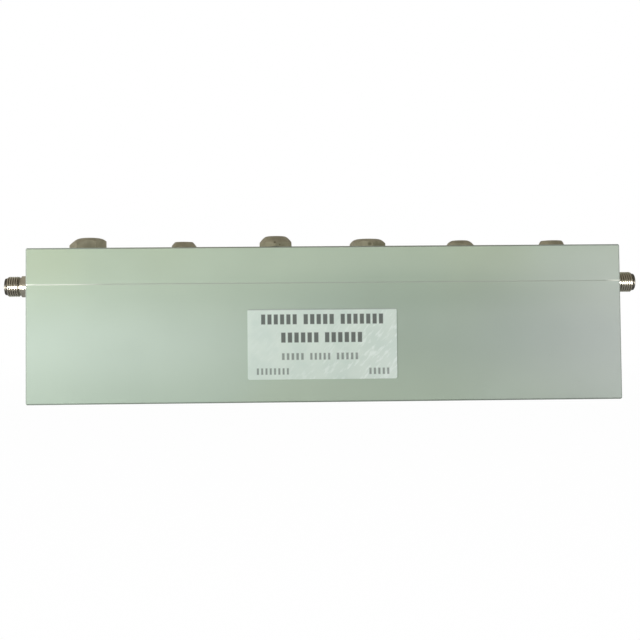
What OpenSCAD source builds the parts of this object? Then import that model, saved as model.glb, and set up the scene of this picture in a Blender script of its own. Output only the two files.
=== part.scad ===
// Cavity bandstop filter: a bored block under a thick cover, with a through line at the seam.
// +X runs along the block, the labelled face looks towards -Y, and +Z is up.
// The origin is the centre of the bottom face. All sizes are in millimetres.

/* [Housing] */
// Length of the block and the cover
body_l = 180; // [172:1:190]
// Depth of the block and the cover, front to back
body_d = 38; // [36:0.5:50]
// Height of the cavity block, up to the seam
block_h = 36; // [32:0.5:44]
// Height of the cover block, above the seam
cover_h = 11.05; // [9.5:0.05:14]
// Edge break on the outer edges of the housing
edge_break = 0.4; // [0.2:0.1:0.8]
// Finer edge break where the two blocks meet
seam_break = 0.15; // [0.05:0.05:0.4]

/* [Cavities] */
// Wall between an outer cavity and the end face
end_wall = 5; // [4.4:0.1:6]
// Rib between two cavities
rib_t = 10.6; // [9:0.1:12]
// Wall in front of the cavities
front_wall = 12; // [11:0.1:12.8]
// Wall behind the cavities
rear_wall = 4; // [3:0.1:5]
// Floor under the cavities
floor_t = 3.5; // [3.2:0.1:5]
// Corner radius that the milling cutter leaves in a cavity
cavity_corner_r = 4; // [2:0.5:6]

/* [Through line] */
// Distance of the through line behind the front face
line_inset = 16.5; // [15.5:0.1:17]
// Diameter of the round channel that holds the line
channel_d = 7; // [6:0.1:7.4]
// Diameter of the line
line_d = 3; // [2.6:0.1:3.4]
// Gap between the end of the line and the end wall
line_end_gap = 2.2; // [1:0.1:4]
// Length of a plastic bead on the line
bead_l = 3; // [2:0.1:5]

/* [Coupling probes] */
// Diameter of a probe's stem
probe_d = 1.3; // [1:0.1:1.8]
// Length of a probe below the line
probe_l = 8.5; // [5:0.1:12]
// Diameter of the disc at a probe's lower end
probe_disc_d = 4.4; // [2.5:0.1:5]
// Thickness of that disc
probe_disc_t = 1; // [0.6:0.1:2]
// Depth of a probe's stem inside the line
probe_seat = 1.2; // [0.8:0.1:1.3]

/* [Resonators] */
// Distance of the posts behind the through line
post_offset = 9; // [8.7:0.1:9.5]
// Outer diameter of a post
post_d = 10; // [9.6:0.1:11]
// Bore in a post's upper end
post_bore_d = 7.6; // [7:0.1:8]
// Depth of that bore
post_bore_l = 12; // [8:0.5:16]
// Chamfer on a post's upper rim
post_lip = 0.4; // [0.1:0.1:0.8]
// Gap between a post's upper end and the seam
post_gap = 6; // [5:0.1:9]
// Thread diameter of a post's screw
post_screw_d = 4; // [3:0.5:4]
// Depth of a post's screw inside the post
post_screw_grip = 5; // [4:0.1:7]

/* [Tuning screws] */
// Thread diameter of the broad tuning screws
broad_thread_d = 6; // [5.5:0.1:6.2]
// Width across the flats of their hex heads
broad_af = 10.3; // [9:0.1:10.6]
// Height of their heads
broad_head_h = 3.6; // [3.4:0.1:4.4]
// Thread diameter of the narrow tuning screws
narrow_thread_d = 5; // [4.5:0.1:5.2]
// Width across the flats of their hex heads
narrow_af = 8.3; // [7.4:0.1:9]
// Height of their heads
narrow_head_h = 2.8; // [2.7:0.1:3.6]
// Depth of a tuning screw's tip inside its post when the head touches the cover
tuner_entry = 3.4; // [2:0.1:6]
// Chamfer at the tip of each tuning screw
tuner_tip = 0.6; // [0.2:0.1:1]
// Chamfer at the mouth of each tuning hole
tuner_mouth = 0.5; // [0.2:0.1:0.8]

/* [Fasteners] */
// Thread diameter of the cover screws
cover_screw_d = 2.5; // [2:0.1:3]
// Head diameter of the cover screws
cover_head_d = 4.7; // [4.2:0.1:5]
// Depth of the cover screws inside the cavity block
cover_screw_grip = 5.4; // [4:0.1:7]
// Distance of the cover screws from the outer faces
cover_screw_inset = 3; // [2.8:0.1:3.2]
// Depth of every flush screw head under its surface
head_sink = 0.15; // [0:0.05:0.3]
// Thread diameter of the four mounting holes in the bottom
mount_hole_d = 3; // [2.5:0.1:4]
// Depth of those holes
mount_hole_l = 6; // [4:0.5:8]
// Distance of those holes from the front and back faces
mount_hole_inset = 5; // [4:0.1:5.5]

/* [Coaxial jacks] */
// Diameter over the threads of a jack's barrel
jack_thread_d = 6.35; // [6.2:0.01:6.5]
// Length of a jack from the end face to its tip
jack_l = 9.53; // [9:0.01:11]
// Side of a jack's square flange
flange_side = 12.7; // [12.4:0.1:13]
// Thickness of a jack's flange
flange_t = 1.65; // [1.6:0.05:2.2]
// Corner radius of the flange
flange_corner_r = 0.6; // [0.2:0.1:1.2]
// Diameter of the smooth collar between the flange and the threads
jack_collar_d = 6.7; // [6.6:0.05:7]
// Length of that collar
jack_collar_l = 2.75; // [1:0.05:3]
// Diameter of the groove between the collar and the threads
jack_groove_d = 5.5; // [5.4:0.05:5.8]
// Width of that groove
jack_groove_w = 0.55; // [0.3:0.05:0.8]
// Length over which the threads run down to the nose
jack_bevel_l = 0.8; // [0.6:0.05:1.2]
// Diameter of the smooth nose at the tip
jack_nose_d = 5.25; // [5.2:0.05:5.4]
// Length of that nose
jack_nose_l = 0.35; // [0.2:0.05:1]
// Diameter of the socket at the tip
jack_socket_d = 4.6; // [4.5:0.01:4.8]
// Depth of that socket
jack_socket_l = 1.93; // [1.5:0.01:2.2]
// Diameter of a jack's plastic insulator
insulator_d = 4.1; // [3.9:0.05:4.3]
// Diameter of a jack's centre contact
contact_d = 1.27; // [1.2:0.01:1.3]
// Bore of the contact that takes the plug's pin
contact_bore_d = 0.94; // [0.9:0.01:0.98]
// Depth of that bore
contact_bore_l = 3; // [2:0.1:4]
// Depth of a centre contact inside the through line
contact_seat = 3; // [2:0.1:4]
// Distance between neighbouring screws of a flange
flange_screw_spacing = 8.64; // [8.4:0.01:8.9]
// Thread diameter of the flange screws
flange_screw_d = 2.2; // [2:0.1:2.4]
// Head diameter of the flange screws
flange_head_d = 3.9; // [3.6:0.1:4]
// Depth of the flange screws inside the end wall
flange_screw_grip = 3; // [2.2:0.1:3.4]

/* [Label] */
// Width of the label
label_w = 45.1; // [30:0.1:60]
// Height of the label
label_h = 21.2; // [12:0.1:24]
// Thickness of the label
label_t = 0.15; // [0.1:0.01:0.3]
// Height of the label's lower edge above the bottom
label_z = 6.9; // [2:0.1:8]
// Offset of the label's middle from the middle of the front face
label_x = -1; // [-20:0.5:20]
// Corner radius of the label
label_corner_r = 0.6; // [0.3:0.1:1.5]

/* [Hidden] */
cavity_count = 6;
bead_count = 3;

$fn = 64;
eps = 0.01;

// Radial play of a screw in its threads, and of a pin in its seat
thread_play = 0.05;
seat_play = 0.03;
// Straight rim of a flush screw head, and the air round and under the head
head_rim = 0.25;
head_play = 0.05;
// Extra depth of a blind hole past its screw
blind_extra = 0.3;

// How far each resonator, with its cavity and screw, is set off the even spacing
resonator_shift = [0.1, 1.2, 0.6, 0.5, 1.1, 0.6];

// Tuning screws 1 to 6: which are broad, the height of each head above the cover, and its turn
tuner_is_broad = [true, false, true, true, false, false];
tuner_stand = [1.22, 0.43, 1.3, 0.22, 0.38, 0.08];
tuner_turn = [3, 34, 30, 42, 41, 32];
// Crown of each head: how far worn off centre, the radius of its flat top, how far it has
// dropped at the flats, and how rounded the slope is, from 1 for a straight bevel to 3
crown_shift = [1.05, -0.2, 0.1, 0.05, -0.4, 0.1];
crown_top_r = [0, 2.9, 2.9, 2.8, 1.8, 3.3];
crown_drop = [1.15, 1.5, 1.9, 0.8, 1.15, 1.45];
crown_curve = [3, 1.15, 1.65, 2.7, 2.5, 1.5];

// Places and sizes that follow from the ones above
body_h = block_h + cover_h;
pitch = (body_l - 2 * end_wall + rib_t) / cavity_count;
cavity_w = pitch - rib_t;
cavity_y0 = -body_d / 2 + front_wall;
cavity_y1 = body_d / 2 - rear_wall;
line_y = -body_d / 2 + line_inset;
line_half = body_l / 2 - end_wall - line_end_gap;
post_y = line_y + post_offset;
post_top = block_h - post_gap;
post_screw_head_d = 2 * post_screw_d;
function cavity_x(i) = (i - (cavity_count - 1) / 2) * pitch + resonator_shift[i];
function rib_x(i) = (cavity_x(i - 1) + cavity_x(i)) / 2;
function tuner_thread_d(i) = tuner_is_broad[i] ? broad_thread_d : narrow_thread_d;

// Corners of a rectangle, its two lower ones cut by low and its two upper ones by high
function broken_rectangle(x0, x1, y0, y1, low, high) = [
    [x0 + low, y0], [x1 - low, y0], [x1, y0 + low], [x1, y1 - high],
    [x1 - high, y1], [x0 + high, y1], [x0, y1 - high], [x0, y0 + low]
];

// Block from z0 to z1 with broken edges: low is cut off below, high above
module broken_block(z0, z1, low, high) {
    l = body_l / 2;
    d = body_d / 2;
    intersection() {
        translate([0, 0, z0])
            linear_extrude(z1 - z0)
                polygon(broken_rectangle(-l, l, -d, d, edge_break, edge_break));
        translate([0, d, 0])
            rotate([90, 0, 0])
                linear_extrude(body_d)
                    polygon(broken_rectangle(-l, l, z0, z1, low, high));
        translate([-l, 0, 0])
            rotate([90, 0, 90])
                linear_extrude(body_l)
                    polygon(broken_rectangle(-d, d, z0, z1, low, high));
    }
}

// Rectangle with rounded corners, centred
module rounded_rectangle(w, h, r) {
    square([w - 2 * r, h], center = true);
    square([w, h - 2 * r], center = true);
    for (sx = [-1, 1], sy = [-1, 1])
        translate([sx * (w / 2 - r), sy * (h / 2 - r)])
            circle(r);
}

// Countersunk screw along -Z, the flat top of its head at z = 0, with a hex socket
module flush_screw(thread_d, head_d, l) {
    d = thread_d - 2 * thread_play;
    cone_h = (head_d - d) / 2;
    socket_d = d * 0.9;
    difference() {
        rotate_extrude()
            polygon([[0, 0], [head_d / 2, 0], [head_d / 2, -head_rim],
                     [d / 2, -head_rim - cone_h], [d / 2, d / 6 - l], [d / 3, -l], [0, -l]]);
        translate([0, 0, -cone_h])
            cylinder(h = cone_h + eps, d = socket_d, $fn = 6);
    }
}

// Hole for that screw, countersunk from z = 0 down and clear of the shank over its length l
module flush_screw_hole(thread_d, head_d, l, play) {
    r = thread_d / 2 + play;
    head_r = head_d / 2 + head_play;
    rim = head_sink + head_rim + head_play;
    rotate_extrude()
        polygon([[0, eps], [head_r, eps], [head_r, -rim], [r, -rim - head_r + r],
                 [r, -l], [0, -l]]);
}

// Round channel at the seam, with the narrower insulator bore through each end wall
module line_channel() {
    translate([-body_l / 2 + end_wall, line_y, block_h])
        rotate([0, 90, 0])
            cylinder(h = body_l - 2 * end_wall, d = channel_d);
    translate([-body_l / 2 - eps, line_y, block_h])
        rotate([0, 90, 0])
            cylinder(h = body_l + 2 * eps, d = insulator_d + 2 * seat_play);
}

// Runs its children at each cavity's post
module at_posts() {
    for (i = [0 : cavity_count - 1])
        translate([cavity_x(i), post_y, 0])
            children();
}

// Runs its children at each cover screw: over every rib and in the four corners
module at_cover_screws() {
    end_x = body_l / 2 - cover_screw_inset;
    rib_xs = [for (i = [1 : cavity_count - 1]) rib_x(i)];
    for (x = concat([-end_x], rib_xs, [end_x]), side = [-1, 1])
        translate([x, side * (body_d / 2 - cover_screw_inset), 0])
            children();
}

// Places what is drawn along +Z from the end face onto the left (-1) or right (1) end
module at_end(side) {
    translate([side * body_l / 2, line_y, block_h])
        rotate([0, side * 90, 0])
            children();
}

// Runs its children at the four screws of a jack's flange
module at_flange_screws() {
    for (sx = [-1, 1], sy = [-1, 1])
        translate([sx, sy, 0] * flange_screw_spacing / 2)
            children();
}

// Holes of the flange screws in both end faces
module flange_screw_holes() {
    depth = flange_screw_grip + blind_extra;
    for (side = [-1, 1])
        at_end(side)
            at_flange_screws()
                translate([0, 0, -depth])
                    cylinder(h = depth + eps, d = flange_screw_d);
}

module cavity_block() {
    cover_hole_l = cover_screw_grip + blind_extra;
    color("#bfcdb9")
        difference() {
            broken_block(0, block_h, edge_break, seam_break);
            for (i = [0 : cavity_count - 1])
                translate([cavity_x(i), (cavity_y0 + cavity_y1) / 2, floor_t])
                    linear_extrude(block_h)
                        rounded_rectangle(cavity_w, cavity_y1 - cavity_y0, cavity_corner_r);
            line_channel();
            flange_screw_holes();
            at_cover_screws()
                translate([0, 0, block_h - cover_hole_l])
                    cylinder(h = cover_hole_l + eps, d = cover_screw_d);
            at_posts()
                rotate([180, 0, 0])
                    flush_screw_hole(post_screw_d, post_screw_head_d, floor_t + eps, thread_play);
            for (sx = [-1, 1], sy = [-1, 1])
                translate([sx * 2 * pitch, sy * (body_d / 2 - mount_hole_inset), -eps])
                    cylinder(h = mount_hole_l + eps, d = mount_hole_d);
        }
}

module cover_block() {
    color("#bfcdb9")
        difference() {
            broken_block(block_h, body_h, seam_break, edge_break);
            line_channel();
            flange_screw_holes();
            translate([0, 0, body_h])
                at_cover_screws()
                    flush_screw_hole(cover_screw_d, cover_head_d, cover_h + eps, thread_play);
            for (i = [0 : cavity_count - 1])
                translate([cavity_x(i), post_y, 0]) {
                    translate([0, 0, block_h - eps])
                        cylinder(h = cover_h + 2 * eps, d = tuner_thread_d(i));
                    translate([0, 0, body_h - tuner_mouth])
                        cylinder(h = tuner_mouth + eps, d1 = tuner_thread_d(i),
                                 d2 = tuner_thread_d(i) + 2 * (tuner_mouth + eps));
                }
        }
}

module label() {
    color("#d4dbd6")
        translate([label_x, -body_d / 2, label_z + label_h / 2])
            rotate([90, 0, 0])
                linear_extrude(label_t)
                    rounded_rectangle(label_w, label_h, label_corner_r);
}

// Through line, with a seat in each end for a contact and one under it for each probe
module main_line() {
    color("#d8d5cc")
        translate([0, line_y, block_h])
            difference() {
                rotate([0, 90, 0])
                    cylinder(h = 2 * line_half, d = line_d, center = true);
                for (side = [-1, 1])
                    translate([side * (line_half - contact_seat), 0, 0])
                        rotate([0, side * 90, 0])
                            cylinder(h = contact_seat + eps, d = contact_d + 2 * seat_play);
                for (i = [0 : cavity_count - 1])
                    translate([cavity_x(i), 0, -line_d])
                        cylinder(h = line_d / 2 + probe_seat, d = probe_d + 2 * seat_play);
            }
}

// Plastic bead number k on the line: the beads sit over every other rib
module line_bead(k) {
    color("#f2f0ea")
        translate([rib_x(2 * k - 1), line_y, block_h])
            rotate([0, 90, 0])
                difference() {
                    cylinder(h = bead_l, d = channel_d - 2 * seat_play, center = true);
                    cylinder(h = bead_l + 2 * eps, d = line_d + 2 * seat_play, center = true);
                }
}

// Probe of cavity number i: a stem seated in the line and a disc at its lower end
module coupling_probe(i) {
    bottom = block_h - line_d / 2 - probe_l;
    color("#c9a75a")
        translate([cavity_x(i), line_y, bottom]) {
            cylinder(h = probe_l + probe_seat, d = probe_d);
            cylinder(h = probe_disc_t, d = probe_disc_d);
        }
}

// Post of cavity number i: bored from above for the tuning screw and from below for its own
module resonator_post(i) {
    drill_point = post_bore_d / 6;
    tapped_top = floor_t + post_screw_grip + blind_extra;
    color("#d9d4c4")
        translate([cavity_x(i), post_y, 0])
            rotate_extrude()
                polygon([[post_screw_d / 2, floor_t], [post_d / 2, floor_t],
                         [post_d / 2, post_top - post_lip], [post_d / 2 - post_lip, post_top],
                         [post_bore_d / 2, post_top], [post_bore_d / 2, post_top - post_bore_l],
                         [0, post_top - post_bore_l - drill_point],
                         [0, tapped_top], [post_screw_d / 2, tapped_top]]);
}

// Turned crown of head number i, h high: flat on top and sloping off past its corners
module tuner_crown(i, h, flat_r, corner_r) {
    steps = 8;
    top_r = crown_top_r[i];
    rim_r = corner_r + abs(crown_shift[i]) + eps;
    drop = crown_drop[i];
    curve = crown_curve[i];
    end_slope = min(1, curve * drop / (flat_r - top_r));
    function crown_z(r) = h - drop * pow((min(r, flat_r) - top_r) / (flat_r - top_r), curve)
        - end_slope * max(0, r - flat_r);
    slope = [for (k = [steps : -1 : 0])
        let (r = top_r + (rim_r - top_r) * k / steps)
        [r, max(crown_z(r), eps)]];
    rotate_extrude()
        polygon(concat([[0, 0], [rim_r, 0]], slope, top_r > 0 ? [[0, h]] : []));
}

// Tuning screw of cavity number i: a crowned hex head on a threaded shank
module tuning_screw(i) {
    flat_r = (tuner_is_broad[i] ? broad_af : narrow_af) / 2;
    head_h = tuner_is_broad[i] ? broad_head_h : narrow_head_h;
    corner_r = flat_r / cos(30);
    shank_d = tuner_thread_d(i) - 2 * thread_play;
    shank_l = cover_h + post_gap + tuner_entry;
    color("#8f8878")
        translate([cavity_x(i), post_y, body_h + tuner_stand[i]]) {
            intersection() {
                rotate([0, 0, tuner_turn[i]])
                    cylinder(h = head_h, r = corner_r, $fn = 6);
                translate([crown_shift[i], 0, 0])
                    tuner_crown(i, head_h, flat_r, corner_r);
            }
            translate([0, 0, -shank_l])
                cylinder(h = tuner_tip, d1 = shank_d - 2 * tuner_tip, d2 = shank_d);
            translate([0, 0, tuner_tip - shank_l])
                cylinder(h = shank_l - tuner_tip + eps, d = shank_d);
        }
}

module post_screws() {
    color("#8f8878")
        translate([0, 0, head_sink])
            at_posts()
                rotate([180, 0, 0])
                    flush_screw(post_screw_d, post_screw_head_d,
                                floor_t - head_sink + post_screw_grip);
}

module cover_screws() {
    color("#8f8878")
        translate([0, 0, body_h - head_sink])
            at_cover_screws()
                flush_screw(cover_screw_d, cover_head_d, cover_h - head_sink + cover_screw_grip);
}

// Flange and threaded barrel of a jack, bored for the insulator and the plug
module jack_body(side) {
    thread_r = jack_thread_d / 2;
    collar_r = jack_collar_d / 2;
    groove_r = jack_groove_d / 2;
    nose_r = jack_nose_d / 2;
    groove_z = flange_t + jack_collar_l;
    nose_z = jack_l - jack_nose_l;
    color("#8a8270")
        at_end(side)
            difference() {
                union() {
                    linear_extrude(flange_t)
                        rounded_rectangle(flange_side, flange_side, flange_corner_r);
                    rotate_extrude()
                        polygon([[0, flange_t / 2], [collar_r, flange_t / 2], [collar_r, groove_z],
                                 [groove_r, groove_z], [groove_r, groove_z + jack_groove_w],
                                 [thread_r, groove_z + jack_groove_w],
                                 [thread_r, nose_z - jack_bevel_l], [nose_r, nose_z],
                                 [nose_r, jack_l], [0, jack_l]]);
                }
                translate([0, 0, -eps])
                    cylinder(h = jack_l, d = insulator_d + 2 * seat_play);
                translate([0, 0, jack_l - jack_socket_l])
                    cylinder(h = jack_socket_l + eps, d = jack_socket_d);
                translate([0, 0, flange_t])
                    at_flange_screws()
                        flush_screw_hole(flange_screw_d, flange_head_d, flange_t + eps,
                                         thread_play);
            }
}

// Plastic sleeve from the socket's floor, through the end wall, to the channel
module jack_insulator(side) {
    sleeve_l = end_wall + jack_l - jack_socket_l;
    color("#f2f0ea")
        at_end(side)
            translate([0, 0, -end_wall])
                difference() {
                    cylinder(h = sleeve_l, d = insulator_d);
                    translate([0, 0, -eps])
                        cylinder(h = sleeve_l + 2 * eps, d = contact_d + 2 * seat_play);
                }
}

// Centre contact, bored at the front for the plug's pin and seated in the through line
module jack_contact(side) {
    front = jack_l - jack_socket_l;
    back = -end_wall - line_end_gap - contact_seat;
    color("#c9a75a")
        at_end(side)
            difference() {
                translate([0, 0, back])
                    cylinder(h = front - back, d = contact_d);
                translate([0, 0, front - contact_bore_l])
                    cylinder(h = contact_bore_l + eps, d = contact_bore_d);
            }
}

// Four flush screws that hold a jack's flange to the end of the housing
module jack_screws(side) {
    color("#9a9484")
        at_end(side)
            translate([0, 0, flange_t - head_sink])
                at_flange_screws()
                    flush_screw(flange_screw_d, flange_head_d,
                                flange_t - head_sink + flange_screw_grip);
}

cavity_block();
cover_block();
label();
main_line();
for (k = [1 : bead_count])
    line_bead(k);
for (k = [1 : cavity_count]) {
    coupling_probe(k - 1);
    resonator_post(k - 1);
    tuning_screw(k - 1);
}
post_screws();
cover_screws();
jack_body(-1);  // jack_body_left
jack_body(1);  // jack_body_right
jack_insulator(-1);  // jack_insulator_left
jack_insulator(1);  // jack_insulator_right
jack_contact(-1);  // jack_contact_left
jack_contact(1);  // jack_contact_right
jack_screws(-1);  // jack_screws_left
jack_screws(1);  // jack_screws_right
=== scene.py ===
import math
from collections import namedtuple
from contextlib import contextmanager

import bmesh
import bpy
from bpy.props import FloatProperty, FloatVectorProperty, PointerProperty
from bpy.types import Operator, Panel, PropertyGroup
from mathutils import Matrix, Vector


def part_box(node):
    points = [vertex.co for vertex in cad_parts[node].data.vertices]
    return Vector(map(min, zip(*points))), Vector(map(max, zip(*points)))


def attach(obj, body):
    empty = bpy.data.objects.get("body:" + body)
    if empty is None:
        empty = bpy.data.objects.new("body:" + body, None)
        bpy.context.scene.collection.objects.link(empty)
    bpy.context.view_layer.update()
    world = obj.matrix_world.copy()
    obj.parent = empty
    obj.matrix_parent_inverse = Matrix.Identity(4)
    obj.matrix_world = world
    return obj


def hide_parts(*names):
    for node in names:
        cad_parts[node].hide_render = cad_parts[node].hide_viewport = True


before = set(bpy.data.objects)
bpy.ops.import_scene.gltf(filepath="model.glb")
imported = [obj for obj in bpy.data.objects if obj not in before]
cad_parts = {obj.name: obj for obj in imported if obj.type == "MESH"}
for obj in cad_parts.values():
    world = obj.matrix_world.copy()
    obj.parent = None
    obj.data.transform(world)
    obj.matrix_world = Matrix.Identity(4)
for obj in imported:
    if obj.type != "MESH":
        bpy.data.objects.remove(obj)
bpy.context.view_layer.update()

bl_info = {
    "name": "Bandstop Filter",
    "version": (1, 0, 0),
    "blender": (4, 5, 0),
    "location": "View3D > Sidebar > Bandstop Filter",
    "description": "Dresses a cavity bandstop filter: paint, foil label, tuning screws and coaxial jacks",
    "category": "Object",
}

# Lengths are metres in Blender. Those written with MM are given in millimetres.
MM = 0.001
BODY = "root"

# Corners this close are one, and corners this close to a cut lie on it, in metres
SAME_PLACE = 1e-6
ON_PLANE = 1e-7

# The two ends: the side of X that each is on, and how far its jack's thread is turned in degrees
End = namedtuple("End", "name side thread_turn")
ENDS = (End("left", -1, 70), End("right", 1, 205))

# Places that the CAD model gives
BLOCK_LOW, BLOCK_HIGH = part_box("cavity_block")
LINE_LOW, LINE_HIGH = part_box("main_line")
LINE_Y = (LINE_LOW.y + LINE_HIGH.y) / 2
SEAM_Z = BLOCK_HIGH.z
FRONT_Y = BLOCK_LOW.y
COVER_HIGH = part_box("cover_block")[1]

# The six heads from left to right: whether it is broad, its turn in degrees, and its crown: how
# far it is worn off centre, the radius of its flat top and its drop at the flats in millimetres,
# and how round it is
Head = namedtuple("Head", "broad turn shift top_r drop curve")
HEADS = (
    Head(True, 3, 0.75, 0, 1.05, 4.2),
    Head(False, 34, -0.2, 2.9, 1.5, 1.15),
    Head(True, 30, 0.1, 2.9, 1.9, 1.65),
    Head(True, 42, 0.05, 2.8, 0.8, 2.7),
    Head(False, 41, -0.4, 1.8, 1.15, 2.5),
    Head(False, 32, 0.1, 3.3, 1.45, 1.5),
)
CAVITIES = len(HEADS)
BEADS = 3

# A head's underside: the share of its width that bears, and its rim's slope in degrees
BEARING = 0.95
RIM_SLOPE = 12

# Flats at the crest and the root of a thread of 60 degrees, as shares of its pitch
CREST = 1 / 8
ROOT = 1 / 4

# Small dents in the paint of the front face: their middle and their radius in millimetres
Dent = namedtuple("Dent", "x z radius")
DENTS = (Dent(76.9, 5.6, 0.45), Dent(81.5, 10.5, 0.3), Dent(83.5, 21.8, 0.3), Dent(68.0, 13.6, 0.25))

# Painted light and shade in soft patches on the front face: their middle and how far they reach
# along X and Z in millimetres, and the tint at their middle, which lightens above 1 and darkens
# below 1. They fade towards the back, and each is full over a share of its reach.
LIGHT_PATCH_DEPTH = 40
LIGHT_PATCH_FULL = 0.2
Patch = namedtuple("Patch", "x z reach_x reach_z tint")
LIGHT_AND_SHADE_PATCHES = (
    Patch(-95, 47, 75, 17, (0.92, 0.92, 0.91)),
    Patch(15, 33, 80, 9, (0.93, 0.94, 0.93)),
    Patch(38, 24, 70, 26, (0.88, 0.89, 0.91)),
    Patch(-62, 17, 55, 17, (1.09, 1.08, 1.10)),
    Patch(110, 20, 90, 60, (1.09, 1.01, 1.16)),
)

# Changes in the marks on the paint: where each starts and is full, in millimetres along X, and how
# strong it is, from 0 to 1. The darker band along the top edge sets in at the left and fades at the
# right. The seam's painted highlight is weaker past its left tip, fades to a least share, and
# returns at the right end.
Change = namedtuple("Change", "start full strength")
DARK_EDGE_SETS_IN = Change(-75, -50, 0.5)
DARK_EDGE_FADES = Change(40, 80, 0.9)
SEAM_WEAKENS = Change(-89, -87, 0.3)
SEAM_FADES = Change(-78, -58, 1)
SEAM_RETURNS = Change(84, 88, 0.9)
SEAM_LEAST = 0.25

# The bands that those marks keep to, in millimetres: behind the front face, below the top edge,
# and above and below the seam
MARK_DEPTH = (0.4, 0.7)
DARK_EDGE_BAND = (0.42, 0.3)
SEAM_BAND = (0.1, 0.24)

# The height from which the paint's tint grows towards the top, and the depths of its orange peel,
# specks and dents, in millimetres
HIGH_TINT_FROM = 18
PEEL_DEPTH = 0.004
SPECK_DEPTH = 0.0015
DENT_DEPTH = 0.06

# Dark spots on the tuning screws' heads, at the front and the back alike: the screw, how far right
# of its middle and below its top in millimetres, and radius. Each is full over a share of that.
Spot = namedtuple("Spot", "screw right down radius")
SPOTS = (Spot(3, 1.3, 2.9, 0.3), Spot(3, -0.3, 2.2, 0.5), Spot(4, 0.2, 1.8, 0.9))
SPOT_FULL = 0.3

# Painted shade in the threads of the jacks, in millimetres: where it sets in about the start of the
# thread, and how far it stays below the crests and outside the socket. It is full this share of
# the pitch below the crests.
THREAD_SHADE_START = (-0.75, 0.45)
THREAD_SHADE_BELOW = 0.1
THREAD_SHADE_OUTSIDE = (0.05, 0.15)
THREAD_SHADE_FULL = 0.35

# The crinkles and glints of the foil grow over these stretches, in millimetres right of and below
# its upper left corner taken together. The crinkles lean by an angle in degrees.
CRINKLED = (24, 58)
GLINTING = (48, 66)
CRINKLE_LEAST = 0.15
CRINKLE_LEAN = 40

# Rows of small plain inked blocks on the label: left and right edge, top edge and height in
# millimetres from the label's upper left corner, how many blocks, and how strong their ink is
Row = namedtuple("Row", "left right top height blocks ink")
ROWS = (
    Row(3.8, 15.2, 1.6, 3.0, 6, 1.0),
    Row(16.6, 26.4, 1.6, 3.0, 5, 1.0),
    Row(27.8, 41.3, 1.6, 3.0, 7, 1.0),
    Row(9.8, 21.7, 7.1, 3.0, 6, 1.0),
    Row(23.0, 34.9, 7.1, 3.0, 6, 1.0),
    Row(10.0, 17.2, 13.3, 2.0, 5, 0.75),
    Row(18.5, 25.2, 13.3, 2.0, 5, 0.75),
    Row(26.5, 33.6, 13.3, 2.0, 5, 0.75),
    Row(2.4, 12.7, 17.8, 1.9, 8, 0.75),
    Row(36.3, 43.0, 17.9, 1.9, 5, 0.75),
)

# The gap between two blocks of a row, and how soft their edges are, in millimetres
BLOCK_GAP = 0.68
BLOCK_SOFT = 0.12


# Modelling

def choose(piece):
    """Selects this piece alone and makes it the active one."""
    bpy.ops.object.select_all(action="DESELECT")
    bpy.context.view_layer.objects.active = piece
    piece.select_set(True)


def added(name, add, **settings):
    """Adds an object by that operator, with nothing else selected, and names it."""
    bpy.ops.object.select_all(action="DESELECT")
    add(**settings)
    piece = bpy.context.object
    piece.name = name
    piece.data.name = name
    return piece


@contextmanager
def editing():
    """Edit mode on the active piece, with all of it selected."""
    bpy.ops.object.mode_set(mode="EDIT")
    bpy.ops.mesh.select_all(action="SELECT")
    yield
    bpy.ops.object.mode_set(mode="OBJECT")


def apply_last(piece):
    """Applies the piece's modifier."""
    choose(piece)
    bpy.ops.object.modifier_apply(modifier=piece.modifiers[-1].name)
    if piece.modifiers:
        raise RuntimeError(f"a modifier on {piece.name} could not be applied")


def settle(piece):
    """Puts the object's own place, turn and size into its mesh."""
    choose(piece)
    bpy.ops.object.transform_apply(location=True, rotation=True, scale=True)


def close_up(piece):
    """Merges doubled corners and turns all faces outwards."""
    choose(piece)
    with editing():
        bpy.ops.mesh.remove_doubles(threshold=SAME_PLACE)
        bpy.ops.mesh.normals_make_consistent(inside=False)


def drawn_line(name, corners):
    """A line of edges through (radius, height) corners in the XZ plane."""
    line = added(name, bpy.ops.mesh.primitive_plane_add, size=MM)
    with editing():
        bpy.ops.mesh.select_mode(type="VERT")
        bpy.ops.mesh.merge(type="CENTER")
        bpy.ops.transform.translate(value=(corners[0][0], 0, corners[0][1]))
        for here, there in zip(corners, corners[1:]):
            step = (there[0] - here[0], 0, there[1] - here[1])
            bpy.ops.mesh.extrude_region_move(TRANSFORM_OT_translate={"value": step})
    return line


def turned(name, corners, steps=96):
    """A turned solid: the outline through its (radius, height) corners, spun about Z."""
    piece = drawn_line(name, corners)
    with editing():
        bpy.ops.mesh.spin(steps=steps, angle=2 * math.pi, center=(0, 0, 0), axis=(0, 0, 1),
                          use_auto_merge=True)
    close_up(piece)
    return piece


def prism(name, sides, radius, low, high):
    """An upright prism from low to high with that many sides, a corner on +X."""
    piece = added(name, bpy.ops.mesh.primitive_circle_add, vertices=sides, radius=radius,
                  fill_type="NGON", location=(0, 0, low), rotation=(0, 0, -math.pi / 2))
    settle(piece)
    with editing():
        bpy.ops.mesh.extrude_region_move(TRANSFORM_OT_translate={"value": (0, 0, high - low)})
    close_up(piece)
    return piece


def plate(name, low, high, axis, corner_r):
    """A block from corner low to corner high, its edges along that axis rounded."""
    piece = added(name, bpy.ops.mesh.primitive_cube_add, size=1,
                  location=(Vector(low) + Vector(high)) / 2)
    piece.scale = Vector(high) - Vector(low)
    settle(piece)
    with editing():
        bpy.ops.mesh.select_mode(type="EDGE")
        mesh = bmesh.from_edit_mesh(piece.data)
        for edge in mesh.edges:
            run = edge.verts[1].co - edge.verts[0].co
            edge.select = abs(run[axis]) > run.length / 2
        bmesh.update_edit_mesh(piece.data)
        bpy.ops.mesh.bevel(offset=corner_r, segments=6, affect="EDGES")
    return piece


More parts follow.
